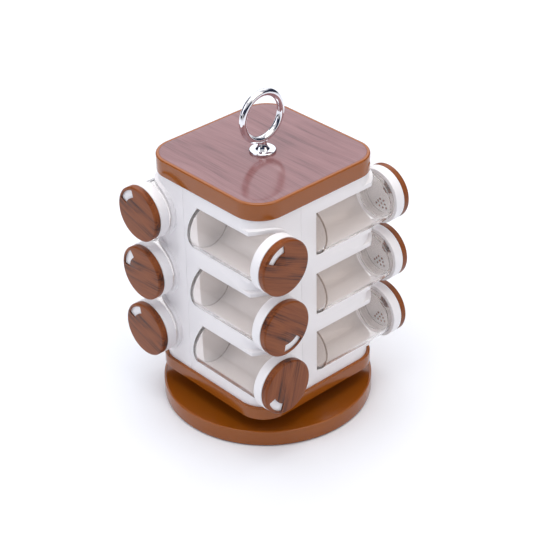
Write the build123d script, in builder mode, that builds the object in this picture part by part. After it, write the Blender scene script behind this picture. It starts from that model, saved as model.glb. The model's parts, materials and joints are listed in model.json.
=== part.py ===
"""Spice carousel: a square tower on a turntable, holding twelve jars that lie on their sides.

Frame: origin at the bottom centre, +Z up, millimetres.
The front face of the tower looks along -Y, the right face along +X.
Each face holds three jars. One face is designed, as the front face, and turned about Z
for the other three, so that the jars go round the tower like a pinwheel.
"""
from build123d import *
from math import degrees
import os

# The tower
tower_half = 62.0
tower_corner = 22.0
tower_wall = 2.2
tower_floor = 34.3
tower_top = 197.6
seam = 20.0
seam_gap = 0.1
lip_height = 3.0
lip_wall = 1.8
lip_gap = 0.15

# The turntable base and the two plates
base_radius = 82.9
base_height = 13.6
base_foot = 0.8
rim_wall = 3.0
deck_low = 8.2
deck_skin = 2.6
hub_radius = 36.0
hub_top = 9.0
hub_floor = 5.0
grip_inner = 62.0
grip_outer = 73.0
grip_thick = 2.0
lower_half = 64.2
lower_corner = 22.4
lower_bottom = 23.7
hub_shelf = 30.8
hub_spigot = 33.7
hub_gap = 0.2
top_half = 63.0
top_corner = 22.9
top_height = 13.8
top_ceiling = 205.6
laminate_thick = 2.8
laminate_round = 2.4

# The jars: places along a jar are measured from the tower's middle plane, out to the cap
jar_offset = 52.3
jar_pitch = 51.8
jar_middle = 116.0
jar_bottom = -4.5
jar_shoulder = 66.5
jar_rim = 73.0
jar_radius = 20.1
jar_wall = 1.8
neck_radius = 18.2
bead = 0.4
bead_places = (68.9, 71.3)
pocket_floor = -4.9
pocket_radius = 20.5
pocket_wall = 1.6
collar_radius = 23.6
collar_start = 40.0
collar_stand = 3.0

# The screw caps, and the dials that turn on them
cap_start = 66.9
cap_shoulder = 75.2
cap_ceiling = 73.4
cap_face = 79.4
cap_radius = 22.2
cap_bore = 19.0
drum_radius = 20.0
snap_groove = 19.5
snap_bead = 19.8
dial_start = 75.5
dial_end = 80.7
dial_radius = 22.0
dial_face = 1.0
dial_bore = 20.3
window_inner = 13.2
window_outer = 19.5
window_angle = 53.0
pour_inner = 3.0
pour_outer = 16.2
pour_angle = 66.0
pour_turn = 123.0
sprinkle_turn = -93.0
sprinkle_radius = 1.0
sprinkle_step = 3.6

# The pivot, its ball bearing and the column above it
running_gap = 0.05
spindle_radius = 6.0
spindle_top = 44.5
bush_radius = 9.0
ball_radius = 3.0
ball_circle = 28.0
ball_height = 13.2
ball_count = 14
groove_gap = 0.1
race_inner = 22.0
race_outer = 34.0
race_gap = 1.6
race_thick = 2.6
cage_thick = 1.8
column_half = 28.0
column_wall = 2.4
post_place = 21.5
post_radius = 4.5
screw_radius = 1.45
pilot_radius = 1.5
screw_head = 3.0
web_place = 13.5
web_thick = 3.0

# The ring handle
flange_radius = 10.2
flange_thick = 2.0
handle_low = 5.3
handle_high = 2.9
handle_top = 220.3
stud_radius = 3.0
ring_height = 240.2
ring_radius = 18.7
ring_tube = 2.75

plate_top = tower_top + top_height
laminate_floor = plate_top - laminate_thick
race_low = ball_height - race_gap
race_high = ball_height + race_gap
hub_low = race_high + race_thick
boss_heights = (jar_middle - jar_pitch / 2, jar_middle + jar_pitch / 2)
levels = {
    "bottom": jar_middle - jar_pitch,
    "middle": jar_middle,
    "top": jar_middle + jar_pitch,
}

# How far each face is turned from the front, and where the window of each dial stands
faces = {"front": 0, "right": 90, "back": 180, "left": 270}
windows = {
    "front": {"top": 121, "middle": 288, "bottom": 223},
    "right": {"top": 8, "middle": 12, "bottom": 4},
    "back": {"top": 140, "middle": 60, "bottom": 110},
    "left": {"top": 130, "middle": 151, "bottom": 129},
}

os.makedirs("parts", exist_ok=True)


def save(name, shape):
    """Label a finished piece and write its file."""
    shape.label = name
    export_step(shape, f"parts/{name}.step")


def jar_plane(turn, height):
    """A plane across a jar at the tower's middle: its z runs along the jar, out to the cap."""
    front = Plane(origin=(0, -jar_offset, height), x_dir=(0, 1, 0), z_dir=(1, 0, 0))
    return Plane(Location((0, 0, 0), (0, 0, turn)) * front.location)


def lengthwise(plane):
    """The plane that holds a jar's axis: x is the radius, y the place along the jar."""
    return Plane(origin=plane.origin, x_dir=plane.x_dir, z_dir=-plane.y_dir)


def jar_axis(plane):
    return Axis(plane.origin, plane.z_dir)


def sector(inner, outer, width, centre):
    """A window between two radii, width degrees wide, about the angle centre."""
    with BuildLine() as outline:
        outside = CenterArc((0, 0), outer, centre - width / 2, width)
        inside = CenterArc((0, 0), inner, centre - width / 2, width)
        Line(outside @ 0, inside @ 0)
        Line(outside @ 1, inside @ 1)
    make_face(outline.edges())


def ring(outer, inner, low, high):
    """A flat ring about the tower's axis, added to the part being built."""
    with BuildSketch(Plane.XY.offset(low)) as flat:
        Circle(outer)
        Circle(inner, mode=Mode.SUBTRACT)
    extrude(flat.sketch, amount=high - low)


# ---------------------------------------------------------------- turntable base
with BuildPart() as turntable_base:
    with BuildSketch(Plane.XZ):
        with BuildLine():
            lip = (base_radius - 1.9, base_height - 0.3)
            deck_start = (hub_radius + 8, deck_low)
            ThreePointArc(lip, (base_radius - 19, deck_low + 1.5), deck_start)
            Polyline(
                deck_start,
                (hub_radius, deck_low),
                (hub_radius - 0.8, hub_top),
                (spindle_radius + running_gap, hub_top),
                (spindle_radius + running_gap, hub_floor),
                (hub_radius, hub_floor),
                (hub_radius + 8, deck_low - deck_skin),
            )
            ThreePointArc(
                (hub_radius + 8, deck_low - deck_skin),
                (base_radius - 20, deck_low - deck_skin + 1.4),
                (base_radius - rim_wall, base_height - 0.5 - deck_skin),
            )
            Polyline(
                (base_radius - rim_wall, base_height - 0.5 - deck_skin),
                (base_radius - rim_wall, base_foot),
                (base_radius - 0.9, base_foot),
                (base_radius, base_foot + 0.9),
                (base_radius, base_height - 1.0),
            )
            ThreePointArc(
                (base_radius, base_height - 1.0),
                (base_radius - 0.3, base_height - 0.3),
                (base_radius - 1.0, base_height),
            )
            Line((base_radius - 1.0, base_height), lip)
        make_face()
    revolve(axis=Axis.Z)
    ring(grip_outer + 2, grip_inner - 2, grip_thick - 0.8, deck_low)
    with BuildSketch(Plane.XY):
        Circle(grip_outer + 0.2)
        Circle(grip_inner - 0.2, mode=Mode.SUBTRACT)
    extrude(amount=grip_thick, mode=Mode.SUBTRACT)
save("turntable_base", turntable_base.part)

with BuildPart() as anti_slip_ring:
    ring(grip_outer, grip_inner, 0, grip_thick)
    fillet(anti_slip_ring.edges().group_by(Axis.Z)[0], 0.5)
save("anti_slip_ring", anti_slip_ring.part)

with BuildPart() as spindle:
    with BuildSketch(Plane.XY.offset(hub_floor - 2)):
        Circle(13)
    extrude(amount=2)
    with BuildSketch(Plane.XY.offset(hub_floor)):
        Circle(spindle_radius)
    extrude(amount=spindle_top - hub_floor)
    chamfer(spindle.edges().group_by(Axis.Z)[-1], 0.8)
save("spindle", spindle.part)

with BuildPart() as spindle_nut:
    nut_bottom = tower_floor + 2.3
    ring(12, spindle_radius + running_gap, nut_bottom, nut_bottom + 1.5)
    with BuildSketch(Plane.XY.offset(nut_bottom + 1.5)):
        RegularPolygon(8.5, 6, major_radius=False)
        Circle(spindle_radius + running_gap, mode=Mode.SUBTRACT)
    extrude(amount=5)
save("spindle_nut", spindle_nut.part)

# ---------------------------------------------------------------- ball bearing
with BuildPart() as lower_race:
    ring(race_outer, race_inner, race_low - race_thick, race_low)
    with Locations((0, 0, ball_height)):
        Torus(ball_circle, ball_radius + groove_gap, mode=Mode.SUBTRACT)
save("lower_race", lower_race.part)

with BuildPart() as upper_race:
    ring(race_outer, race_inner, race_high, race_high + race_thick)
    with Locations((0, 0, ball_height)):
        Torus(ball_circle, ball_radius + groove_gap, mode=Mode.SUBTRACT)
save("upper_race", upper_race.part)

with BuildPart() as bearing_balls:
    with Locations((0, 0, ball_height)):
        with PolarLocations(ball_circle, ball_count):
            Sphere(ball_radius)
save("bearing_balls", bearing_balls.part)

with BuildPart() as ball_cage:
    with BuildSketch(Plane.XY.offset(ball_height - cage_thick / 2)):
        Circle(ball_circle + 4)
        Circle(ball_circle - 4, mode=Mode.SUBTRACT)
        with PolarLocations(ball_circle, ball_count):
            Circle(ball_radius + groove_gap, mode=Mode.SUBTRACT)
    extrude(amount=cage_thick)
save("ball_cage", ball_cage.part)

# ---------------------------------------------------------------- lower plate and its hub
with BuildPart() as lower_plate:
    with BuildSketch(Plane.XY.offset(lower_bottom)):
        RectangleRounded(2 * lower_half, 2 * lower_half, lower_corner)
    extrude(amount=tower_floor - lower_bottom)
    chamfer(lower_plate.edges().group_by(Axis.Z)[0], 0.8)
    fillet(lower_plate.edges().group_by(Axis.Z)[-1], 0.8)
    with BuildSketch(Plane.XY.offset(tower_floor)):
        half = tower_half - tower_wall - lip_gap
        corner = tower_corner - tower_wall - lip_gap
        RectangleRounded(2 * half, 2 * half, corner)
        half = half - lip_wall
        RectangleRounded(2 * half, 2 * half, corner - lip_wall, mode=Mode.SUBTRACT)
    extrude(amount=lip_height)
    with BuildSketch(Plane.XY.offset(lower_bottom)):
        Circle(hub_radius + hub_gap)
    extrude(amount=hub_shelf - lower_bottom, mode=Mode.SUBTRACT)
    with BuildSketch(Plane.XY.offset(hub_shelf)):
        Circle(hub_spigot + hub_gap)
    extrude(amount=tower_floor - hub_shelf, mode=Mode.SUBTRACT)
save("lower_plate", lower_plate.part)

with BuildPart() as bearing_hub:
    ring(hub_radius, bush_radius, hub_low, hub_shelf)
    ring(hub_spigot, bush_radius, hub_shelf, tower_floor)
    chamfer(bearing_hub.edges().group_by(Axis.Z)[0].sort_by(SortBy.LENGTH)[-1], 0.6)
    with BuildSketch(Plane.XY.offset(hub_low)):
        with GridLocations(2 * post_place, 2 * post_place, 2, 2):
            Circle(pilot_radius + 0.1)
    extrude(amount=tower_floor - hub_low, mode=Mode.SUBTRACT)
    with BuildSketch(Plane.XY.offset(hub_low)):
        with GridLocations(2 * post_place, 2 * post_place, 2, 2):
            Circle(screw_head + 0.3)
    extrude(amount=9, mode=Mode.SUBTRACT)
save("bearing_hub", bearing_hub.part)

with BuildPart() as hub_bush:
    ring(bush_radius, spindle_radius + running_gap, hub_low, tower_floor)
    ring(12, spindle_radius + running_gap, tower_floor, tower_floor + 2)
save("hub_bush", hub_bush.part)

# ---------------------------------------------------------------- column
with BuildPart() as core_column:
    with BuildSketch(Plane.XY.offset(tower_floor)):
        RectangleRounded(2 * column_half, 2 * column_half, 4)
        inner_half = column_half - column_wall
        RectangleRounded(2 * inner_half, 2 * inner_half, 2, mode=Mode.SUBTRACT)
        with GridLocations(2 * post_place, 2 * post_place, 2, 2):
            Circle(post_radius)
    extrude(amount=tower_top - tower_floor)
    for end, way in ((tower_floor, 1), (tower_top, -1)):
        with BuildSketch(Plane.XY.offset(end)):
            with GridLocations(2 * post_place, 2 * post_place, 2, 2):
                Circle(pilot_radius)
        extrude(amount=14 * way, mode=Mode.SUBTRACT)
    for turn in faces.values():
        side = Plane(origin=(0, -column_half, 0), x_dir=(1, 0, 0), z_dir=(0, -1, 0))
        side = Plane(Location((0, 0, 0), (0, 0, turn)) * side.location)
        with BuildSketch(side):
            with Locations(*[(web_place, height) for height in boss_heights]):
                Circle(pilot_radius + 0.1)
        extrude(amount=-column_wall, mode=Mode.SUBTRACT)
save("core_column", core_column.part)


# ---------------------------------------------------------------- corner panels
def make_collars():
    """Three solid discs that stand out of the right face, trimmed to follow its corner."""
    stand = tower_half + collar_stand
    with BuildPart() as collars:
        for height in levels.values():
            with BuildSketch(jar_plane(0, height).offset(collar_start)):
                Circle(collar_radius)
            extrude(amount=stand - collar_start)
        with BuildSketch(Plane.XY.offset(tower_floor)):
            RectangleRounded(2 * stand, 2 * stand, tower_corner + collar_stand)
            with Locations((stand, stand - tower_half)):
                Rectangle(2 * stand, 2 * stand, mode=Mode.INTERSECT)
        extrude(amount=tower_top - tower_floor, mode=Mode.INTERSECT)
    return collars.part


def make_panel(turn):
    """The corner panel that holds the three jars of one face, designed as the front face."""
    with BuildPart() as panel:
        # Solid pockets and the web that carries them, cut back to the tower's outline
        for height in levels.values():
            with BuildSketch(jar_plane(0, height).offset(pocket_floor - pocket_wall)):
                Circle(pocket_radius + pocket_wall)
            extrude(amount=tower_half - pocket_floor + pocket_wall)
        low = levels["bottom"] - pocket_radius - pocket_wall
        high = levels["top"] + pocket_radius + pocket_wall
        with BuildSketch(Plane.XY.offset(low)):
            with Locations((web_place, -(tower_half + column_half) / 2)):
                Rectangle(web_thick, tower_half - column_half)
        extrude(amount=high - low)
        with BuildSketch(Plane.XY.offset(tower_floor)):
            RectangleRounded(2 * tower_half, 2 * tower_half, tower_corner)
            with Locations((tower_half - seam + seam_gap, -tower_half - seam - seam_gap)):
                Rectangle(2 * tower_half, 2 * tower_half, mode=Mode.INTERSECT)
        extrude(amount=tower_top - tower_floor, mode=Mode.INTERSECT)
        # The skin: a corner of the tower, from one seam to the next
        with BuildSketch(Plane.XY.offset(tower_floor)):
            RectangleRounded(2 * tower_half, 2 * tower_half, tower_corner)
            inner = tower_half - tower_wall
            RectangleRounded(2 * inner, 2 * inner, tower_corner - tower_wall, mode=Mode.SUBTRACT)
            with Locations((tower_half - seam + seam_gap, -tower_half - seam - seam_gap)):
                Rectangle(2 * tower_half, 2 * tower_half, mode=Mode.INTERSECT)
        extrude(amount=tower_top - tower_floor)
        # A strip behind the next panel's edge, and the step that joins it to this one
        with BuildSketch(Plane.XY.offset(tower_floor + lip_height + 0.5)):
            with Locations((inner - 0.85, -seam)):
                Rectangle(1.5, 13)
            with Locations((inner - 0.4, -seam - 3.4)):
                Rectangle(1.2, 6.2)
        extrude(amount=tower_top - tower_floor - 2 * lip_height - 1)
        # The collars that stand out round the mouths and die away round the corner
        add(make_collars())
        # Bores for the jars: they open the windows in one wall and the mouths in the next
        for height in levels.values():
            with BuildSketch(jar_plane(0, height).offset(pocket_floor)):
                Circle(pocket_radius)
            extrude(amount=2 * tower_half, mode=Mode.SUBTRACT)
        # Screw bosses against the column
        side = Plane(origin=(0, -column_half, 0), x_dir=(1, 0, 0), z_dir=(0, -1, 0))
        with BuildSketch(side):
            with Locations(*[(web_place, height) for height in boss_heights]):
                Circle(post_radius)
        extrude(amount=9)
        with BuildSketch(side):
            with Locations(*[(web_place, height) for height in boss_heights]):
                Circle(pilot_radius)
        extrude(amount=9, mode=Mode.SUBTRACT)
    return Location((0, 0, 0), (0, 0, turn)) * panel.part


for face, turn in faces.items():
    save(f"panel_{face}", make_panel(turn))

# ---------------------------------------------------------------- top plate
with BuildPart() as top_plate:
    with BuildSketch(Plane.XY.offset(tower_top)):
        RectangleRounded(2 * top_half, 2 * top_half, top_corner)
    extrude(amount=laminate_floor - tower_top)
    chamfer(top_plate.edges().group_by(Axis.Z)[0], 0.6)
    half = tower_half - tower_wall - lip_gap
    corner = tower_corner - tower_wall - lip_gap
    with BuildSketch(Plane.XY.offset(tower_top - lip_height)):
        RectangleRounded(2 * half, 2 * half, corner)
    extrude(amount=lip_height)
    with BuildSketch(Plane.XY.offset(tower_top - lip_height)):
        RectangleRounded(2 * (half - lip_wall), 2 * (half - lip_wall), corner - lip_wall)
    extrude(amount=top_ceiling - tower_top + lip_height, mode=Mode.SUBTRACT)
    with BuildSketch(Plane.XY.offset(tower_top)):
        with GridLocations(2 * post_place, 2 * post_place, 2, 2):
            Circle(post_radius)
    extrude(amount=laminate_floor - tower_top)
    with BuildSketch(Plane.XY.offset(tower_top + 2)):
        Circle(12)
    extrude(amount=laminate_floor - tower_top - 2)
    with BuildSketch(Plane.XY.offset(tower_top)):
        Circle(stud_radius + running_gap)
        with GridLocations(2 * post_place, 2 * post_place, 2, 2):
            Circle(pilot_radius + 0.1)
    extrude(amount=top_height, mode=Mode.SUBTRACT)
    with BuildSketch(Plane.XY.offset(laminate_floor)):
        with GridLocations(2 * post_place, 2 * post_place, 2, 2):
            Circle(screw_head + 0.3)
    extrude(amount=-2.2, mode=Mode.SUBTRACT)
save("top_plate", top_plate.part)

with BuildPart() as top_laminate:
    with BuildSketch(Plane.XY.offset(laminate_floor)):
        RectangleRounded(2 * top_half, 2 * top_half, top_corner)
    extrude(amount=laminate_thick)
    fillet(top_laminate.edges().group_by(Axis.Z)[-1], laminate_round)
    with BuildSketch(Plane.XY.offset(laminate_floor)):
        Circle(stud_radius + 0.2)
    extrude(amount=laminate_thick, mode=Mode.SUBTRACT)
save("top_laminate", top_laminate.part)

# ---------------------------------------------------------------- ring handle
with BuildPart() as handle_base:
    foot = plate_top
    with BuildSketch(Plane.XZ):
        with BuildLine():
            Polyline(
                (0, foot - 17),
                (stud_radius, foot - 17),
                (stud_radius, foot),
                (flange_radius, foot),
                (flange_radius, foot + flange_thick - 0.8),
                (flange_radius - 0.8, foot + flange_thick),
                (handle_low, foot + flange_thick),
            )
            ThreePointArc(
                (handle_low, foot + flange_thick),
                (handle_high + 0.6, foot + flange_thick + 3.2),
                (handle_high, handle_top),
            )
            Polyline((handle_high, handle_top), (0, handle_top), (0, foot - 17))
        make_face()
    revolve(axis=Axis.Z)
    with Locations(Location((0, 0, ring_height), (0, 90, 0))):
        Torus(ring_radius, ring_tube, mode=Mode.SUBTRACT)
save("handle_base", handle_base.part)

with BuildPart() as handle_ring:
    with Locations(Location((0, 0, ring_height), (0, 90, 0))):
        Torus(ring_radius, ring_tube)
save("handle_ring", handle_ring.part)

with BuildPart() as handle_nut:
    ring(8, stud_radius + running_gap, tower_top + 1, tower_top + 2)
    with BuildSketch(Plane.XY.offset(tower_top + 1)):
        RegularPolygon(5, 6, major_radius=False)
        Circle(stud_radius + running_gap, mode=Mode.SUBTRACT)
    extrude(amount=-4)
save("handle_nut", handle_nut.part)


# ---------------------------------------------------------------- screws
def screw(plane, length):
    """A round-head screw: the plane lies under the head, the shank runs along its z."""
    with BuildSketch(plane) as shank:
        Circle(screw_radius)
    extrude(shank.sketch, amount=length)
    with BuildSketch(plane) as head:
        Circle(screw_head)
    extrude(head.sketch, amount=-2)


with BuildPart() as floor_screws:
    for x in (-post_place, post_place):
        for y in (-post_place, post_place):
            screw(Plane(origin=(x, y, hub_low + 9)), tower_floor - hub_low + 4)
save("floor_screws", floor_screws.part)

with BuildPart() as top_screws:
    for x in (-post_place, post_place):
        for y in (-post_place, post_place):
            screw(Plane(origin=(x, y, laminate_floor - 2.2), z_dir=(0, 0, -1)), 22)
save("top_screws", top_screws.part)

with BuildPart() as panel_screws:
    for turn in faces.values():
        for height in boss_heights:
            place = (web_place, column_wall - column_half, height)
            inside = Plane(origin=place, x_dir=(1, 0, 0), z_dir=(0, -1, 0))
            screw(Plane(Location((0, 0, 0), (0, 0, turn)) * inside.location), column_wall + 8)
save("panel_screws", panel_screws.part)


# ---------------------------------------------------------------- jars, caps and dials
def make_jar(plane):
    """A clear round jar with a closed end, a shoulder and a neck with two beads."""
    with BuildPart() as jar:
        with BuildSketch(lengthwise(plane)):
            with BuildLine():
                Polyline(
                    (0, jar_bottom),
                    (jar_radius, jar_bottom),
                    (jar_radius, jar_shoulder),
                    (neck_radius, jar_shoulder),
                    (neck_radius, jar_rim),
                    (neck_radius - jar_wall, jar_rim),
                    (neck_radius - jar_wall, jar_shoulder - jar_wall),
                    (jar_radius - jar_wall, jar_shoulder - 2 * jar_wall),
                    (jar_radius - jar_wall, jar_bottom + jar_wall + 1.5),
                    (jar_radius - jar_wall - 1.5, jar_bottom + jar_wall),
                    (0, jar_bottom + jar_wall),
                    (0, jar_bottom),
                )
            make_face()
            for height in bead_places:
                with Locations((neck_radius, height)):
                    Rectangle(2 * bead, 1.0)
        revolve(axis=jar_axis(plane))
        rims = jar.edges().filter_by(GeomType.CIRCLE).group_by(SortBy.RADIUS)[-1]
        rims = rims.sort_by(jar_axis(plane))
        fillet(rims[0], 2.6)
        rims = jar.edges().filter_by(GeomType.CIRCLE).group_by(SortBy.RADIUS)[-1]
        rims = rims.sort_by(jar_axis(plane))
        fillet(rims[-1], 1.0)
    return jar.part


def make_cap(plane, window):
    """A screw cap: a wide skirt, a drum for the dial, a pour opening and sprinkle holes."""
    with BuildPart() as cap:
        with BuildSketch(lengthwise(plane)):
            with BuildLine():
                Polyline(
                    (cap_bore, cap_start),
                    (cap_radius - 0.5, cap_start),
                    (cap_radius, cap_start + 0.5),
                    (cap_radius, cap_shoulder - 0.5),
                    (cap_radius - 0.5, cap_shoulder),
                    (drum_radius, cap_shoulder),
                    (drum_radius, cap_shoulder + 0.8),
                    (snap_groove, cap_shoulder + 1.1),
                    (snap_groove, cap_shoulder + 2.0),
                    (drum_radius, cap_shoulder + 2.3),
                    (drum_radius, cap_face),
                    (0, cap_face),
                    (0, cap_ceiling),
                    (cap_bore, cap_ceiling),
                    (cap_bore, cap_start),
                )
            make_face()
        revolve(axis=jar_axis(plane))
        with BuildSketch(plane.offset(cap_face)):
            sector(pour_inner, pour_outer, pour_angle, window + pour_turn)
            for radius, count in ((7.0, 2), (10.0, 3), (13.0, 4)):
                step = degrees(sprinkle_step / radius)
                first = window + sprinkle_turn - step * (count - 1) / 2
                for number in range(count):
                    with PolarLocations(radius, 1, start_angle=first + step * number):
                        Circle(sprinkle_radius)
        extrude(amount=cap_ceiling - cap_face, mode=Mode.SUBTRACT)
    return cap.part


def make_dial(plane, window):
    """A dial: a hollow disc with a window. A bead in its skirt snaps into the cap's groove."""
    under = dial_end - dial_face
    with BuildPart() as dial:
        with BuildSketch(lengthwise(plane)):
            with BuildLine():
                Polyline(
                    (0, under),
                    (dial_bore, under),
                    (dial_bore, cap_shoulder + 2.1),
                    (snap_bead, cap_shoulder + 1.8),
                    (snap_bead, cap_shoulder + 1.3),
                    (dial_bore, cap_shoulder + 1.0),
                    (dial_bore, dial_start),
                    (dial_radius, dial_start),
                    (dial_radius, dial_end - 0.9),
                    (dial_radius - 0.9, dial_end),
                    (0, dial_end),
                    (0, under),
                )
            make_face()
        revolve(axis=jar_axis(plane))
        with BuildSketch(plane.offset(dial_end)) as opening:
            sector(window_inner, window_outer, window_angle, window)
            fillet(opening.vertices(), 0.9)
        extrude(amount=-dial_face, mode=Mode.SUBTRACT)
    return dial.part


for face, turn in faces.items():
    for level, height in levels.items():
        across = jar_plane(turn, height)
        window = windows[face][level]
        save(f"jar_{face}_{level}", make_jar(across))
        save(f"cap_{face}_{level}", make_cap(across, window))
        save(f"dial_{face}_{level}", make_dial(across, window))
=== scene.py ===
"""Spice carousel: the looks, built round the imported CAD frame.

Lengths in the shape code are millimetres. Each mesh is scaled to metres as it is made.
Places along a jar are measured from the tower's middle plane, out through the cap.
"""
import json
import math

import bmesh
import bpy
from mathutils import Matrix, Vector


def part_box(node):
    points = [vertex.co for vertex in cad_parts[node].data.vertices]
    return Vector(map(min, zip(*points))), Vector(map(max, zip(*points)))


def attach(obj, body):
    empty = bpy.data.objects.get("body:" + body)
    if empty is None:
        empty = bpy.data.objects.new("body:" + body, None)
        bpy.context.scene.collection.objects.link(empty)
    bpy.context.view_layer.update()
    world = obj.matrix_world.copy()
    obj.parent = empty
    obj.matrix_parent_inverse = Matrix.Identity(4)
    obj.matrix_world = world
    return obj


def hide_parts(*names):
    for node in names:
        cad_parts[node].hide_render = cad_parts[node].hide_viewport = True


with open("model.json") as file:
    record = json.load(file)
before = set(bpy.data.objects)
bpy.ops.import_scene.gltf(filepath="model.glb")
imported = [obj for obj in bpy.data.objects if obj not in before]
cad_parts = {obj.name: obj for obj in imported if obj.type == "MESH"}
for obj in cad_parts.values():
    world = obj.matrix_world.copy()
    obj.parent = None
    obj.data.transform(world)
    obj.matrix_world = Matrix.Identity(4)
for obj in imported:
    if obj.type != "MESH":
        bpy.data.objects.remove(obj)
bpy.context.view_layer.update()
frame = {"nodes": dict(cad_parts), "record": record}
MM = 0.001
scene = bpy.context.scene

# Sizes that the frame doesn't give directly
SEGMENTS = 160
PLATE_CORNER = 22.9
PLATE_HEIGHT = 13.8
EDGE_WIDTH = 2.6
SHEET_THICK = 1.4
FOOT_RADIUS = 10.2
FOOT_THICK = 2.0
STUD_RADIUS = 2.9
STUD_DEPTH = 17
FLOOR_REACH = 6000

# A jar lies along its axis: places are measured from the tower's middle plane
JAR_OFFSET = -52.3
JAR_RADIUS = 20.1
JAR_WALL = 1.8
JAR_END = -4.5
JAR_SHOULDER = 66.5
JAR_RIM = 73.0
NECK_RADIUS = 18.2
BEAD_RADIUS = 18.6
BEAD_PLACES = (68.9, 71.3)

CAP_RADIUS = 22.2
CAP_BORE = 19.0
CAP_MOUTH = 66.9
CAP_SHOULDER = 75.2
CAP_CEILING = 73.4
CAP_FACE = 79.4
DRUM_RADIUS = 20.0
GROOVE_RADIUS = 19.5

DIAL_RADIUS = 22.0
DIAL_BORE = 20.3
DIAL_MOUTH = 75.5
DIAL_UNDER = 79.7
DIAL_FACE = 80.7
SNAP_RADIUS = 19.8

# Angles are in degrees, from the middle of the dial's window
WINDOW = {"inner": 13.2, "outer": 19.5, "width": 53}
POUR = {"inner": 3, "outer": 16.2, "width": 66, "turn": 123}
HOLE_RADIUS = 1.0
HOLE_SPACING = 3.6
HOLE_TURN = -93
HOLE_RINGS = ((7, 2), (10, 3), (13, 4))


# ------------------------------------------------------------------ shape helpers
def soften(points, radii, steps=5):
    """The open outline points with each inner corner rounded: radii holds one radius a point."""
    path = [Vector(points[0])]
    for before, corner, after, radius in zip(points, points[1:], points[2:], radii[1:]):
        before, corner, after = Vector(before), Vector(corner), Vector(after)
        if radius <= 0:
            path.append(corner)
            continue
        to_before = (before - corner).normalized()
        to_after = (after - corner).normalized()
        half = to_before.angle(to_after) / 2
        reach = min(
            radius / math.tan(half),
            0.49 * (before - corner).length,
            0.49 * (after - corner).length,
        )
        radius = reach * math.tan(half)
        centre = corner + (to_before + to_after).normalized() * radius / math.sin(half)
        start = corner + to_before * reach - centre
        end = corner + to_after * reach - centre
        sweep = start.angle_signed(end)
        for step in range(steps + 1):
            turned = start.copy()
            turned.rotate(Matrix.Rotation(-sweep * step / steps, 2))
            path.append(centre + turned)
    path.append(Vector(points[-1]))
    return path


def finish_mesh(name, mesh_data, material, smooth_angle=35):
    """An object from a bmesh in millimetres, smooth except at its sharp edges."""
    bmesh.ops.remove_doubles(mesh_data, verts=mesh_data.verts, dist=1e-4)
    bmesh.ops.recalc_face_normals(mesh_data, faces=mesh_data.faces)
    bmesh.ops.scale(mesh_data, vec=(MM, MM, MM), verts=mesh_data.verts)
    mesh = bpy.data.meshes.new(name)
    mesh_data.to_mesh(mesh)
    mesh_data.free()
    mesh.shade_smooth()
    mesh.set_sharp_from_angle(angle=math.radians(smooth_angle))
    piece = bpy.data.objects.new(name, mesh)
    scene.collection.objects.link(piece)
    if material is not None:
        mesh.materials.append(material)
    return piece


def lathe(name, outline, material, segments=SEGMENTS, closed=False):
    """Turns the outline of (radius, height) points about the z axis."""
    shape = bmesh.new()
    rings = []
    for radius, height in outline:
        if radius < 1e-6:
            rings.append([shape.verts.new((0, 0, height))] * segments)
            continue
        angles = [2 * math.pi * k / segments for k in range(segments)]
        rings.append([shape.verts.new((radius * math.cos(a), radius * math.sin(a), height))
                      for a in angles])
    pairs = list(zip(rings, rings[1:]))
    if closed:
        pairs.append((rings[-1], rings[0]))
    for first, second in pairs:
        for k in range(segments):
            corners = []
            for vertex in (first[k], first[(k + 1) % segments], second[(k + 1) % segments], second[k]):
                if vertex not in corners:
                    corners.append(vertex)
            if len(corners) > 2:
                shape.faces.new(corners)
    return finish_mesh(name, shape, material)


def square_points(half, corner, steps=24):
    """Points round a square with round corners."""
    points = []
    for quarter in range(4):
        middle = Vector((half - corner, half - corner))
        middle.rotate(Matrix.Rotation(math.pi / 2 * quarter, 2))
        for step in range(steps + 1):
            angle = math.pi / 2 * (quarter + step / steps)
            points.append(middle + corner * Vector((math.cos(angle), math.sin(angle))))
    return points


def square_sweep(name, half, corner, outline, material, caps=True, closed=False):
    """Carries an outline of (inset, height) points round a square with round corners."""
    shape = bmesh.new()
    rings = []
    for inset, height in outline:
        ring = square_points(half - inset, max(corner - inset, 0.5))
        rings.append([shape.verts.new((p.x, p.y, height)) for p in ring])
    pairs = list(zip(rings, rings[1:]))
    if closed:
        pairs.append((rings[-1], rings[0]))
    for first, second in pairs:
        for k in range(len(first)):
            after = (k + 1) % len(first)
            shape.faces.new((first[k], first[after], second[after], second[k]))
    if caps and not closed:
        shape.faces.new(rings[0])
        shape.faces.new(rings[-1])
    return finish_mesh(name, shape, material)


def arc(centre_radius, centre_angle, radius, start, end, steps=5):
    """Points of an arc. Its centre is given as a radius and an angle, and angles are in radians."""
    middle = Vector((math.cos(centre_angle), math.sin(centre_angle))) * centre_radius
    angles = [start + (end - start) * k / steps for k in range(steps + 1)]
    return [middle + radius * Vector((math.cos(a), math.sin(a))) for a in angles]


def sector_outline(inner, outer, width, centre, corner):
    """A window between two radii with round corners. Width and centre are in degrees."""
    first, last = math.radians(centre - width / 2), math.radians(centre + width / 2)
    far, near = outer - corner, inner + corner
    out, back = math.asin(corner / far), math.asin(corner / near)
    quarter = math.pi / 2
    return (
        arc(far, first + out, corner, first - quarter, first + out)
        + arc(0, 0, outer, first + out, last - out, 24)[1:-1]
        + arc(far, last - out, corner, last - out, last + quarter)
        + arc(near, last - back, corner, last + quarter, last - back + math.pi)
        + arc(0, 0, inner, last - back, first + back, 20)[1:-1]
        + arc(near, first + back, corner, first + back + math.pi, first + 3 * quarter)
    )


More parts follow.
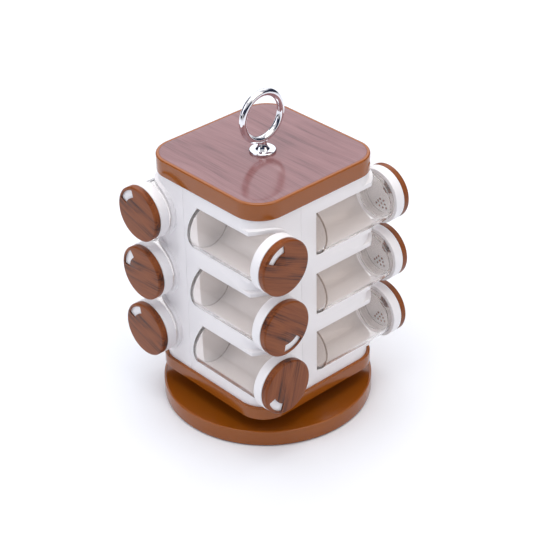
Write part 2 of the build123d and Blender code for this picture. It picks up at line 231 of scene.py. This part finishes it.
def prism(points, low, high, material=None):
    """A straight prism over flat points, as an object that cuts others and lends them its material."""
    shape = bmesh.new()
    bottom = [shape.verts.new((p[0], p[1], low)) for p in points]
    top = [shape.verts.new((p[0], p[1], high)) for p in points]
    shape.faces.new(bottom)
    shape.faces.new(top)
    for k in range(len(points)):
        after = (k + 1) % len(points)
        shape.faces.new((bottom[k], bottom[after], top[after], top[k]))
    return finish_mesh("cutter", shape, material)


def circle_points(radius, centre=(0, 0), count=28):
    angles = [2 * math.pi * k / count for k in range(count)]
    return [(centre[0] + radius * math.cos(a), centre[1] + radius * math.sin(a)) for a in angles]


def cut(piece, cutters, bevel=0.0):
    """Cuts the cutters out of a piece, breaks the new edges and removes the cutters."""
    for cutter in cutters:
        modifier = piece.modifiers.new("cut", "BOOLEAN")
        modifier.object = cutter
        modifier.solver = "EXACT"
        modifier.material_mode = "TRANSFER" if cutter.data.materials else "INDEX"
    if bevel:
        modifier = piece.modifiers.new("edges", "BEVEL")
        modifier.width = bevel * MM
        modifier.segments = 2
        modifier.limit_method = "ANGLE"
        modifier.angle_limit = math.radians(50)
    evaluated = piece.evaluated_get(bpy.context.evaluated_depsgraph_get())
    made = bpy.data.meshes.new_from_object(evaluated)
    piece.modifiers.clear()
    piece.data = made
    made.shade_smooth()
    made.set_sharp_from_angle(angle=math.radians(35))
    for cutter in cutters:
        bpy.data.objects.remove(cutter)


# ------------------------------------------------------------------ materials
def srgb(red, green, blue):
    """A linear colour from 0-255 values."""
    def linear(value):
        value /= 255
        return value / 12.92 if value <= 0.04045 else ((value + 0.055) / 1.055) ** 2.4
    return (linear(red), linear(green), linear(blue), 1.0)


def shade(colour, amount):
    return tuple(min(1.0, c * amount) for c in colour[:3]) + (1.0,)


class Paint:
    """A material being made: adds nodes and links them."""

    def __init__(self, name, **values):
        self.material = bpy.data.materials.new(name)
        self.material.use_nodes = True
        self.tree = self.material.node_tree
        self.shader = self.tree.nodes["Principled BSDF"]
        for socket, value in values.items():
            self.shader.inputs[socket.replace("_", " ")].default_value = value

    def add(self, kind, inputs=None, **settings):
        node = self.tree.nodes.new(kind)
        for key, value in settings.items():
            setattr(node, key, value)
        for key, value in (inputs or {}).items():
            if isinstance(value, bpy.types.NodeSocket):
                self.tree.links.new(value, node.inputs[key])
            else:
                node.inputs[key].default_value = value
        return node

    def link(self, source, socket):
        self.tree.links.new(source, self.shader.inputs[socket])

    def place(self, scale=(1, 1, 1), offset=(0, 0, 0), turn=(0, 0, 0), source=None):
        """Object coordinates, stretched and moved."""
        if source is None:
            source = self.add("ShaderNodeTexCoord").outputs["Object"]
        mapping = self.add("ShaderNodeMapping", {"Vector": source, "Scale": scale,
                                                 "Location": offset, "Rotation": turn})
        return mapping.outputs["Vector"]

    def noise(self, place, scale, detail=3.0, roughness=0.5, distortion=0.0):
        node = self.add("ShaderNodeTexNoise", {"Vector": place, "Scale": scale, "Detail": detail,
                                               "Roughness": roughness, "Distortion": distortion})
        return node.outputs["Fac"]

    def ramp(self, factor, stops):
        """A colour ramp: stops are (position, colour)."""
        node = self.add("ShaderNodeValToRGB", {"Fac": factor})
        elements = node.color_ramp.elements
        while len(elements) < len(stops):
            elements.new(0.5)
        for element, (position, colour) in zip(elements, stops):
            element.position = position
            element.color = colour
        return node.outputs["Color"]

    def span(self, factor, low, high):
        """The factor, stretched from 0-1 to low-high."""
        node = self.add("ShaderNodeMapRange", {"Value": factor, "To Min": low, "To Max": high})
        return node.outputs["Result"]

    def math(self, operation, first, second):
        return self.add("ShaderNodeMath", {0: first, 1: second}, operation=operation).outputs["Value"]

    def bump(self, height, strength, distance=0.0002):
        node = self.add("ShaderNodeBump", {"Height": height, "Strength": strength, "Distance": distance})
        self.link(node.outputs["Normal"], "Normal")


def plastic(name, colour, roughness, spread=0.03, grain=0.04, **values):
    """Moulded plastic: a little uneven in colour and gloss, with a fine moulded grain."""
    paint = Paint(name, Roughness=roughness, **values)
    place = paint.place()
    cloud = paint.noise(place, 28, 2)
    stops = [(0.25, shade(colour, 1 - spread)), (0.75, shade(colour, 1 + spread))]
    paint.link(paint.ramp(cloud, stops), "Base Color")
    fine = paint.noise(place, 1400, 2)
    paint.link(paint.span(paint.noise(place, 90, 4), roughness * 0.85, roughness * 1.2), "Roughness")
    paint.bump(fine, grain, 0.00005)
    return paint.material


def wood(name, dark, middle, light, roughness, offset=(0, 0, 0), turn=0.0, fineness=1.0, **values):
    """Printed wood grain that runs along the object's x axis."""
    paint = Paint(name, Roughness=roughness, **values)
    place = paint.place(offset=offset, turn=(0, 0, turn))
    sway = paint.noise(paint.place((9, 22, 22), source=place), 1, 2)
    bent = paint.add("ShaderNodeVectorMath", {0: place, 1: paint.add(
        "ShaderNodeCombineXYZ", {"Y": paint.span(sway, -0.005, 0.005)}).outputs["Vector"]},
        operation="ADD").outputs["Vector"]
    patches = paint.noise(paint.place((9 * fineness, 60 * fineness, 60), source=bent), 1, 4, 0.55, 0.6)
    lines = paint.noise(paint.place((34 * fineness, 1500 * fineness, 700), source=bent), 1, 4, 0.6)
    bands = paint.noise(paint.place((12 * fineness, 420 * fineness, 300), source=bent), 1, 3, 0.6)
    mixed = paint.math("ADD", paint.math("MULTIPLY", patches, 0.42), paint.math("MULTIPLY", lines, 0.30))
    mixed = paint.math("ADD", mixed, paint.math("MULTIPLY", bands, 0.28))
    stops = [(0.38, dark), (0.47, middle), (0.62, light)]
    paint.link(paint.ramp(mixed, stops), "Base Color")
    paint.link(paint.span(lines, roughness * 1.25, roughness * 0.8), "Roughness")
    paint.bump(lines, 0.05, 0.00008)
    return paint.material


def clear_plastic(name, tint, painted_corner_shade, roughness):
    """Clear moulded plastic that lets lamps through to what is behind it.

    A jar's axis is its own z axis. The corner round its closed end gets painted shade: a darker tint
    that stands in for the darkening by internal reflection in the thick plastic there.
    """
    paint = Paint(name, Roughness=roughness, IOR=1.3, Transmission_Weight=0.92)
    axes = paint.add("ShaderNodeSeparateXYZ", {"Vector": paint.place()}).outputs
    reach = paint.math("SQRT", paint.math("ADD", paint.math("POWER", axes["X"], 2.0),
                                          paint.math("POWER", axes["Y"], 2.0)), 0.0)
    # Mask for the painted shade on the corner round the jar's closed end
    rim = paint.math("MULTIPLY", paint.math("GREATER_THAN", reach, (JAR_RADIUS - 0.9) * MM),
                     paint.math("LESS_THAN", axes["Z"], (JAR_END + 1.0) * MM))
    paint.link(paint.ramp(rim, [(0.0, tint), (1.0, painted_corner_shade)]), "Base Color")
    place = paint.place()
    paint.bump(paint.noise(place, 60, 2), 0.05, 0.0002)
    light = paint.add("ShaderNodeBsdfTransparent", {"Color": tint})
    rays = paint.add("ShaderNodeLightPath").outputs
    mix = paint.add("ShaderNodeMixShader", {
        0: paint.math("MAXIMUM", rays["Is Shadow Ray"], rays["Is Diffuse Ray"]),
        1: paint.shader.outputs["BSDF"], 2: light.outputs["BSDF"]})
    paint.tree.links.new(mix.outputs["Shader"], paint.tree.nodes["Material Output"].inputs["Surface"])
    return paint.material


def metal(name, colour, roughness, scratches=0.0):
    paint = Paint(name, Metallic=1.0, Base_Color=colour, Roughness=roughness)
    place = paint.place()
    paint.link(paint.span(paint.noise(place, 160, 4), roughness * 0.7, roughness * 1.4), "Roughness")
    if scratches:
        paint.bump(paint.noise(paint.place((40, 900, 900), source=place), 1, 3), scratches, 0.00005)
    return paint.material


white = plastic("white_plastic", srgb(243, 241, 243), 0.38, spread=0.01)
caramel = plastic("caramel_plastic", srgb(150, 80, 16), 0.14, spread=0.02, grain=0.02)
laminate_wood = wood("laminate_wood", srgb(100, 64, 64), srgb(130, 88, 88), srgb(146, 104, 104), 0.14,
                     offset=(0.31, 0.12, 0), fineness=1.0, Specular_Tint=(0.80, 0.88, 1.0, 1))
# The third colour is painted shade for the corner round each jar's closed end
clear = clear_plastic("clear_plastic", (1.0, 0.98, 0.965, 1), (0.34, 0.27, 0.23, 1), 0.02)
chrome = metal("polished_chrome", (0.83, 0.83, 0.86, 1), 0.05)
zinc = metal("zinc_plated_steel", (0.62, 0.62, 0.64, 1), 0.3, scratches=0.2)
nylon = plastic("natural_nylon", srgb(226, 220, 200), 0.5)
rubber = plastic("soft_rubber", srgb(38, 36, 36), 0.75, grain=0.2)
NODE_PAINTS = {
    "white_plastic": white, "brown_plastic": caramel, "wood_laminate": laminate_wood,
    "clear_plastic": clear, "chrome": chrome, "steel": zinc, "nylon": nylon, "rubber": rubber,
}
for part in frame["record"]["subparts"]:
    node = frame["nodes"][part["node"]]
    if part["material_slot"] in NODE_PAINTS:
        node.data.materials.clear()
        node.data.materials.append(NODE_PAINTS[part["material_slot"]])


def put(piece, body, slot, *nodes, matrix=None):
    """Places a finished piece, lets it ride on a body and stand for its CAD nodes."""
    if matrix is not None:
        piece.matrix_world = matrix
    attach(piece, body)
    if nodes:
        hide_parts(*nodes)


# ------------------------------------------------------------------ base, plates and handle
def three_point_arc(first, middle, last, steps):
    """Points of the arc through three points."""
    (ax, ay), (bx, by), (cx, cy) = first, middle, last
    d = 2 * (ax * (by - cy) + bx * (cy - ay) + cx * (ay - by))
    a2, b2, c2 = ax * ax + ay * ay, bx * bx + by * by, cx * cx + cy * cy
    centre = Vector(((a2 * (by - cy) + b2 * (cy - ay) + c2 * (ay - by)) / d,
                     (a2 * (cx - bx) + b2 * (ax - cx) + c2 * (bx - ax)) / d))
    start, end = Vector(first) - centre, Vector(last) - centre
    sweep = start.angle_signed(end)
    points = []
    for k in range(steps + 1):
        turned = start.copy()
        turned.rotate(Matrix.Rotation(-sweep * k / steps, 2))
        points.append(centre + turned)
    return points


base_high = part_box("turntable_base")[1] / MM
rim = base_high.x
top = base_high.z
dish = three_point_arc((rim - 1.9, top - 0.3), (rim - 19, 9.7), (44, 8.2), 28)
under = three_point_arc((44, 5.6), (rim - 20, 7.0), (rim - 3, top - 3.1), 24)
inside = [p for p in under if p.x < 59.5]
outside = [p for p in under if p.x > 75.5]
base_outline = (
    [(6.05, 5.0), (36, 5.0)] + inside
    + [(60, 7.1), (60, 1.2), (61.8, 1.2), (61.8, 2.0), (73.2, 2.0), (73.2, 1.2), (75, 1.2), (75, 9.0)]
    + outside
    + soften([(rim - 3, top - 3.2), (rim - 3, 0.8), (rim, 0.8), (rim, top), (rim - 1.7, top), dish[0]],
             [0, 0.4, 0.8, 0.9, 0.5, 0], 6)
    + dish[1:]
    + soften([dish[-1], (36.2, 8.2), (35.2, 9.0), (6.05, 9.0)], [0, 0.4, 0.4, 0])
)
base = lathe("base_shell", base_outline, caramel, 256, closed=True)
put(base, "base", "brown_plastic", "turntable_base")

top_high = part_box("top_laminate")[1] / MM
half, plate_top = top_high.x, top_high.z
tower_top = plate_top - PLATE_HEIGHT
sheet_low = plate_top - SHEET_THICK
rim_outline = soften(
    [(7, tower_top), (0, tower_top), (0, plate_top), (EDGE_WIDTH, plate_top), (EDGE_WIDTH, sheet_low),
     (7, sheet_low)], [0, 0.6, 2.2, 0.15, 0, 0], 12)
plate = square_sweep("top_plate_shell", half, PLATE_CORNER, rim_outline, caramel)
put(plate, "carousel", "brown_plastic", "top_plate")

sheet_edge = EDGE_WIDTH + 0.05
sheet_under = sheet_low + 0.02
sheet_outline = soften(
    [(9, sheet_under), (sheet_edge, sheet_under), (sheet_edge, plate_top), (9, plate_top)],
    [0, 0, 0.15, 0], 4)
sheet = square_sweep("laminate_sheet", half, PLATE_CORNER, sheet_outline, laminate_wood)
put(sheet, "carousel", "wood_laminate", "top_laminate")

foot = plate_top
ring_low, ring_high = (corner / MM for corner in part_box("handle_ring"))
tube = ring_high.x
ring_radius = (ring_high.z - ring_low.z) / 2 - tube
ring_height = (ring_high.z + ring_low.z) / 2
neck = three_point_arc((5.3, foot + FOOT_THICK), (3.5, foot + 5.2), (STUD_RADIUS, foot + 8.9), 14)
stem_outline = (
    soften([(0, foot - STUD_DEPTH), (STUD_RADIUS, foot - STUD_DEPTH), (STUD_RADIUS, foot),
            (FOOT_RADIUS, foot), (FOOT_RADIUS, foot + FOOT_THICK), neck[0]],
           [0, 0.3, 0, 0.3, 0.9, 0], 6)
    + neck[1:] + [(0, neck[-1].y)]
)
stem = lathe("handle_foot", stem_outline, chrome, 128)
put(stem, "carousel", "chrome", "handle_base")

hoop = bmesh.new()
around, across = 192, 40
grid = []
for k in range(around):
    a = 2 * math.pi * k / around
    row = []
    for n in range(across):
        b = 2 * math.pi * n / across
        reach = ring_radius + tube * math.cos(b)
        row.append(hoop.verts.new((tube * math.sin(b), reach * math.cos(a),
                                   ring_height + reach * math.sin(a))))
    grid.append(row)
for k in range(around):
    for n in range(across):
        after, beside = grid[(k + 1) % around], (n + 1) % across
        hoop.faces.new((grid[k][n], after[n], after[beside], grid[k][beside]))
put(finish_mesh("handle_hoop", hoop, chrome), "carousel", "chrome", "handle_ring")

# ------------------------------------------------------------------ jars, caps and dials
def bead(place):
    """A bead round the jar's neck."""
    return soften([(NECK_RADIUS, place - 0.5), (BEAD_RADIUS, place - 0.25), (BEAD_RADIUS, place + 0.25),
                   (NECK_RADIUS, place + 0.5)], [0, 0.2, 0.2, 0], 3)


neck_bore = NECK_RADIUS - JAR_WALL
jar_inside = JAR_RADIUS - JAR_WALL
jar_outline = (
    soften([(0, JAR_END), (JAR_RADIUS, JAR_END), (JAR_RADIUS, JAR_SHOULDER), (NECK_RADIUS, JAR_SHOULDER),
            (NECK_RADIUS, BEAD_PLACES[0] - 0.5)], [0, 1.3, 1.2, 0.3, 0], 8)
    + bead(BEAD_PLACES[0])
    + bead(BEAD_PLACES[1])
    + soften([(NECK_RADIUS, BEAD_PLACES[1] + 0.5), (NECK_RADIUS, JAR_RIM), (neck_bore, JAR_RIM),
              (neck_bore, JAR_SHOULDER - JAR_WALL), (jar_inside, JAR_SHOULDER - 2 * JAR_WALL),
              (jar_inside, JAR_END + JAR_WALL), (0, JAR_END + JAR_WALL)],
             [0, 0.5, 0.7, 1.0, 1.5, 1.6, 0], 7)
)
cap_outline = soften(
    [(0, CAP_FACE), (DRUM_RADIUS, CAP_FACE), (DRUM_RADIUS, 77.5), (GROOVE_RADIUS, 77.2),
     (GROOVE_RADIUS, 76.3), (DRUM_RADIUS, 76.0), (DRUM_RADIUS, CAP_SHOULDER),
     (CAP_RADIUS, CAP_SHOULDER), (CAP_RADIUS, CAP_MOUTH), (CAP_BORE, CAP_MOUTH),
     (CAP_BORE, CAP_CEILING), (0, CAP_CEILING)],
    [0, 0.35, 0, 0, 0, 0, 0.25, 0.6, 0.5, 0.3, 0.4, 0], 6)
dial_outline = soften(
    [(0, DIAL_UNDER), (DIAL_BORE, DIAL_UNDER), (DIAL_BORE, 77.3), (SNAP_RADIUS, 77.0),
     (SNAP_RADIUS, 76.5), (DIAL_BORE, 76.2), (DIAL_BORE, DIAL_MOUTH), (DIAL_RADIUS, DIAL_MOUTH),
     (DIAL_RADIUS, DIAL_FACE - 0.8), (DIAL_RADIUS - 1, DIAL_FACE), (0, DIAL_FACE)],
    [0, 0.3, 0, 0.2, 0.2, 0, 0.3, 0.3, 0.25, 0.35, 0], 5)
jar_model = lathe("jar_model", jar_outline, clear)
cap_model = lathe("cap_model", cap_outline, white)
pour_brown = plastic("pour_brown", srgb(150, 78, 44), 0.4)
cut_low, cut_high = CAP_CEILING - 1.4, CAP_FACE + 0.6
holes = [prism(sector_outline(POUR["inner"], POUR["outer"], POUR["width"], POUR["turn"], 1.0),
               cut_low, cut_high, pour_brown)]
for radius, count in HOLE_RINGS:
    for k in range(count):
        a = math.radians(HOLE_TURN) + HOLE_SPACING / radius * (k - (count - 1) / 2)
        middle = (radius * math.cos(a), radius * math.sin(a))
        holes.append(prism(circle_points(HOLE_RADIUS, middle), cut_low, cut_high, pour_brown))
cut(cap_model, holes, 0.15)
dial_model = lathe("dial_model", dial_outline, None)
window = sector_outline(WINDOW["inner"], WINDOW["outer"], WINDOW["width"], 0, 0.9)
cut(dial_model, [prism(window, DIAL_UNDER - 1.7, DIAL_FACE + 1.3)], 0.15)

dial_wood = wood("dial_wood", srgb(52, 20, 4), srgb(124, 62, 22), srgb(142, 78, 34), 0.36,
                 offset=(0.013, 0.031, 0), turn=math.radians(-32), fineness=1.6, Specular_IOR_Level=0.3)
dial_model.data.materials.append(dial_wood)
FACES = {"front": 0, "right": 90, "back": 180, "left": 270}
LEVELS = {"bottom": 64.2, "middle": 116.0, "top": 167.8}
WINDOWS = {
    "front": {"top": 121, "middle": 288, "bottom": 223},
    "right": {"top": 8, "middle": 12, "bottom": 4},
    "back": {"top": 140, "middle": 60, "bottom": 110},
    "left": {"top": 130, "middle": 151, "bottom": 129},
}
ALONG = Matrix(((0, 0, 1, 0), (1, 0, 0, 0), (0, 1, 0, 0), (0, 0, 0, 1)))
for face, turn in FACES.items():
    for level, height in LEVELS.items():
        key = f"{face}_{level}"
        place = (Matrix.Rotation(math.radians(turn), 4, "Z")
                 @ Matrix.Translation(Vector((0, JAR_OFFSET, height)) * MM) @ ALONG)
        aimed = place @ Matrix.Rotation(math.radians(WINDOWS[face][level]), 4, "Z")
        for kind, model, paint_slot, matrix in (
            ("jar", jar_model, "clear_plastic", place),
            ("cap", cap_model, "white_plastic", aimed),
            ("dial", dial_model, "wood_dial", aimed),
        ):
            piece = bpy.data.objects.new(f"{kind}_{key}_shell", model.data)
            scene.collection.objects.link(piece)
            put(piece, f"{kind}_{key}", paint_slot, f"{kind}_{key}", matrix=matrix)
for model in (jar_model, cap_model, dial_model):
    bpy.data.objects.remove(model)

# ------------------------------------------------------------------ nodes shown as they are
def eased(node_name, new_name, body, paint_slot, convex, hollow):
    """A finer copy of a CAD node: outer edges rounded by convex, inner corners by hollow (mm)."""
    node = frame["nodes"][node_name]
    shape = bmesh.new()
    shape.from_mesh(node.data)
    bmesh.ops.remove_doubles(shape, verts=shape.verts, dist=2e-6)
    bmesh.ops.dissolve_limit(shape, angle_limit=math.radians(0.2), verts=shape.verts, edges=shape.edges)
    weights = shape.edges.layers.float.new("bevel_weight_edge")
    widest = max(convex, hollow)
    for edge in shape.edges:
        if len(edge.link_faces) != 2:
            continue
        angle = edge.calc_face_angle_signed(0)
        if abs(angle) > math.radians(28):
            edge[weights] = (convex if angle > 0 else hollow) / widest
    mesh = bpy.data.meshes.new(new_name)
    shape.to_mesh(mesh)
    shape.free()
    mesh.materials.append(NODE_PAINTS[paint_slot])
    mesh.shade_smooth()
    piece = bpy.data.objects.new(new_name, mesh)
    scene.collection.objects.link(piece)
    edges = piece.modifiers.new("edges", "BEVEL")
    edges.width = widest * MM
    edges.segments = 4
    edges.limit_method = "WEIGHT"
    edges.harden_normals = True
    put(piece, body, paint_slot, node_name)


for name in ("panel_front", "panel_right", "panel_back", "panel_left"):
    eased(name, f"{name}_shell", "carousel", "white_plastic", 0.3, 2.0)
eased("lower_plate", "lower_plate_shell", "carousel", "brown_plastic", 0.25, 0.4)
for part in frame["record"]["subparts"]:
    node = frame["nodes"][part["node"]]

# ------------------------------------------------------------------ floor, light and camera
floor_shape = bmesh.new()
floor_shape.faces.new([floor_shape.verts.new((x * FLOOR_REACH, y * FLOOR_REACH, 0))
                       for x, y in ((-1, -1), (1, -1), (1, 1), (-1, 1))])
floor_paint = Paint("floor", Roughness=0.9)
floor_paint.link(floor_paint.ramp(
    floor_paint.noise(floor_paint.place(), 3, 2),
    [(0.3, (0.865, 0.885, 0.925, 1)), (0.7, (0.875, 0.895, 0.935, 1))]), "Base Color")
floor = finish_mesh("floor", floor_shape, floor_paint.material)

world = bpy.data.worlds.new("studio")
scene.world = world
world.use_nodes = True
nodes, links = world.node_tree.nodes, world.node_tree.links
sky = nodes["Background"]
spot = nodes.new("ShaderNodeTexCoord")
split = nodes.new("ShaderNodeSeparateXYZ")
ramp = nodes.new("ShaderNodeValToRGB")
links.new(spot.outputs["Generated"], split.inputs["Vector"])
links.new(split.outputs["Z"], ramp.inputs["Fac"])
links.new(ramp.outputs["Color"], sky.inputs["Color"])
stops = [(0.0, (0.01, 0.013, 0.03, 1)), (0.47, (0.04, 0.05, 0.09, 1)), (0.53, (0.60, 0.61, 0.65, 1)),
         (1.0, (0.92, 0.91, 0.92, 1))]
while len(ramp.color_ramp.elements) < len(stops):
    ramp.color_ramp.elements.new(0.5)
for element, (position, colour) in zip(ramp.color_ramp.elements, stops):
    element.position = position
    element.color = colour
sky.inputs["Strength"].default_value = 0.9


def soft_light(name, azimuth, elevation, distance, width, height, radiance, colour):
    """A soft box that looks at the tower: radiance is its brightness, with white as 1."""
    data = bpy.data.lights.new(name, "AREA")
    data.shape = "RECTANGLE"
    data.size, data.size_y = width, height
    data.energy = radiance * math.pi * width * height
    data.color = colour
    light = bpy.data.objects.new(name, data)
    scene.collection.objects.link(light)
    a, e = math.radians(azimuth), math.radians(elevation)
    away = Vector((math.sin(a) * math.cos(e), -math.cos(a) * math.cos(e), math.sin(e)))
    light.location = Vector((0, 0, 0.1)) + away * distance
    light.rotation_mode = "QUATERNION"
    light.rotation_quaternion = (-away).to_track_quat("-Z", "Y")


soft_light("back_box", 228, 36, 2.2, 2.4, 1.5, 1.4, (0.95, 0.97, 1.0))
soft_light("left_box", 335, 30, 2.0, 1.2, 1.4, 1.5, (0.92, 0.94, 1.0))
soft_light("right_box", 110, 35, 2.0, 1.2, 1.4, 1.45, (1.0, 0.90, 0.81))
soft_light("front_box", 20, 10, 2.0, 1.2, 0.6, 0.5, (1.0, 0.95, 0.90))
soft_light("top_box", 40, 84, 2.0, 1.6, 1.6, 2.9, (1.0, 1.0, 1.0))

# The view that fits the photograph, aimed at a point on the tower's axis
AIM_HEIGHT = 0.110
CAMERA_DISTANCE = 1.30461
CAMERA_SHIFT = (0.000862, 0.000311)
azimuth, elevation, roll = (math.radians(a) for a in (48.194, 32.113, -1.32))
back = Vector((math.sin(azimuth) * math.cos(elevation), -math.cos(azimuth) * math.cos(elevation),
               math.sin(elevation)))
right = (-back).cross(Vector((0, 0, 1))).normalized()
up = right.cross(-back)
right, up = (right * math.cos(roll) + up * math.sin(roll), up * math.cos(roll) - right * math.sin(roll))
camera = bpy.data.objects.new("camera", bpy.data.cameras.new("camera"))
scene.collection.objects.link(camera)
camera.data.sensor_width = 36
camera.data.lens = 114.22
camera.data.clip_start, camera.data.clip_end = 0.05, 30
turned = Matrix((right, up, back)).transposed().to_4x4()
eye = (Vector((0, 0, AIM_HEIGHT)) + back * CAMERA_DISTANCE
       + right * CAMERA_SHIFT[0] + up * CAMERA_SHIFT[1])
camera.matrix_world = Matrix.Translation(eye) @ turned
scene.camera = camera
scene.view_settings.view_transform = "Standard"
